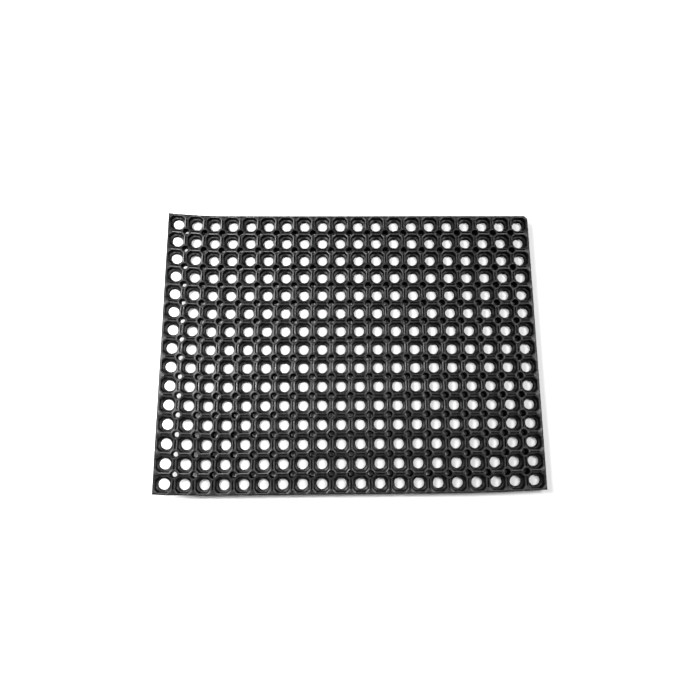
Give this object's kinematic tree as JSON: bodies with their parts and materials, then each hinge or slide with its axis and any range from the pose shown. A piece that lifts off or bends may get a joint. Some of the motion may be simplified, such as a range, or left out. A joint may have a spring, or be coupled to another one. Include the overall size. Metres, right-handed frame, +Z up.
{
  "type": "door mat",
  "caption": "Rubber ring door mat: a low rectangular slab of octagonal cups with round drain holes and a small round hole wherever four cups meet.",
  "frame": {"origin": "middle of the underside, where the mat rests on the floor", "axes": "+X along the long side, +Y along the short side from the first row to the last, +Z up out of the tread"},
  "size_m": [0.6, 0.45, 0.016],
  "materials": {
    "rubber": "moulded black rubber, semi-gloss, lightly dusty"
  },
  "bodies": {
    "root": {"cell_row_01": "rubber", "cell_row_02": "rubber", "cell_row_03": "rubber", "cell_row_04": "rubber", "cell_row_05": "rubber", "cell_row_06": "rubber", "cell_row_07": "rubber", "cell_row_08": "rubber", "cell_row_09": "rubber", "cell_row_10": "rubber", "cell_row_11": "rubber", "cell_row_12": "rubber", "cell_row_13": "rubber", "cell_row_14": "rubber", "cell_row_15": "rubber"}
  },
  "joints": []
}
